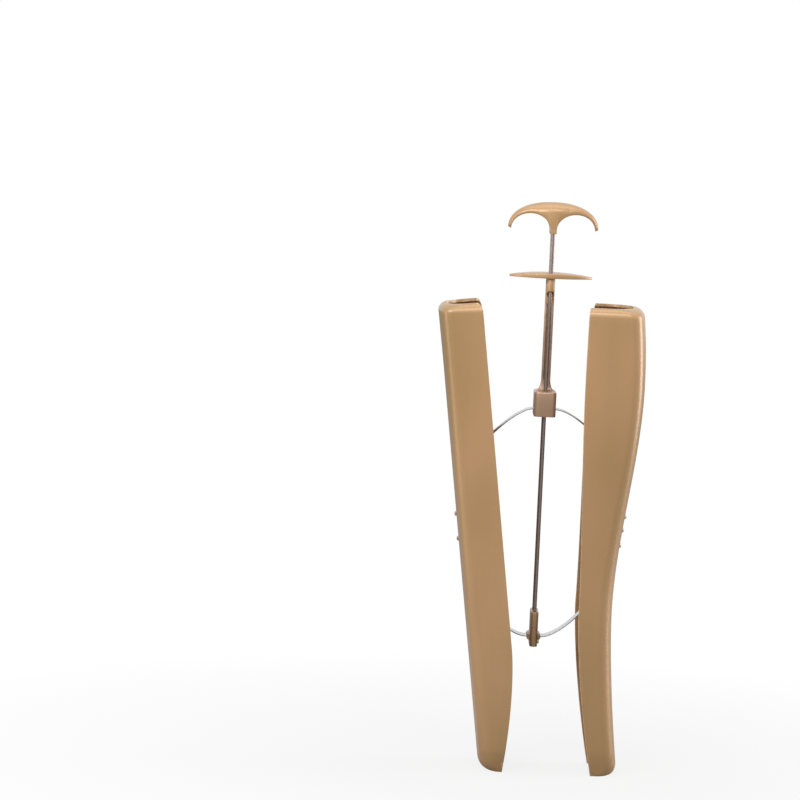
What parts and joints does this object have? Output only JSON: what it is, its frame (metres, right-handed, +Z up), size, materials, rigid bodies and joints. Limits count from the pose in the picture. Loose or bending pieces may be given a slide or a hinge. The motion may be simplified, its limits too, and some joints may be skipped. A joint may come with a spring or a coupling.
{
  "type": "boot shaper",
  "caption": "Boot shaper with a shin shell and a calf shell on bowed spring bands, drawn inwards by squeezing a crescent handle to a finger flange.",
  "frame": {"origin": "on the ground below the centre of the bounding box, with the shaper standing on the feet of its two shells", "axes": "+Z up along the rods, +X from the shin shell to the calf shell, +Y across the shells"},
  "size_m": [0.1682, 0.0726, 0.4578],
  "materials": {
    "gold_plastic": "satin bronze-gold paint on moulded plastic",
    "dark_gold_plastic": "satin, a little darker and browner",
    "rod_steel": "drawn steel wire rod",
    "band_steel": "bright rolled spring steel",
    "screw_steel": "plain steel"
  },
  "bodies": {
    "carriage": {"finger_flange": "gold_plastic", "spine": "gold_plastic", "block_screw": "screw_steel", "upper_band": "band_steel"},
    "plunger": {"handle": "gold_plastic", "front_rod": "rod_steel", "back_rod": "rod_steel", "end_block": "dark_gold_plastic", "end_screw": "screw_steel", "rod_screws": "screw_steel", "lower_band": "band_steel"},
    "shin": {"shin_shell": "gold_plastic", "shin_upper_rivet": "screw_steel"},
    "calf": {"calf_shell": "gold_plastic", "calf_upper_rivets": "screw_steel"},
    "shin_link": {"shin_lower_rivet": "screw_steel"},
    "calf_link": {"calf_lower_rivet": "screw_steel"}
  },
  "joints": [
    {"name": "plunger_slide", "type": "slide", "parent": "carriage", "child": "plunger", "axis": [0, 0, 1], "range_m": [-0.031, 0], "stiffness_N_per_m": 500, "springref_m": 0.01, "deforming": ["upper_band", "lower_band"]},
    {"name": "shin_slide", "type": "slide", "parent": "carriage", "child": "shin", "axis": [-0.8057, 0, 0.5924], "range_m": [-0.0263, 0]},
    {"name": "calf_slide", "type": "slide", "parent": "carriage", "child": "calf", "axis": [0.8057, 0, 0.5924], "range_m": [-0.0263, 0]},
    {"name": "shin_link_slide", "type": "slide", "parent": "plunger", "child": "shin_link", "axis": [-0.8057, 0, -0.5924], "range_m": [-0.0263, 0]},
    {"name": "calf_link_slide", "type": "slide", "parent": "plunger", "child": "calf_link", "axis": [0.8057, 0, -0.5924], "range_m": [-0.0263, 0]}
  ],
  "couplings": [
    {"joint": "shin_slide", "follows": "plunger_slide", "ratio": 0.844},
    {"joint": "calf_slide", "follows": "plunger_slide", "ratio": 0.844},
    {"joint": "shin_link_slide", "follows": "plunger_slide", "ratio": 0.844},
    {"joint": "calf_link_slide", "follows": "plunger_slide", "ratio": 0.844}
  ]
}
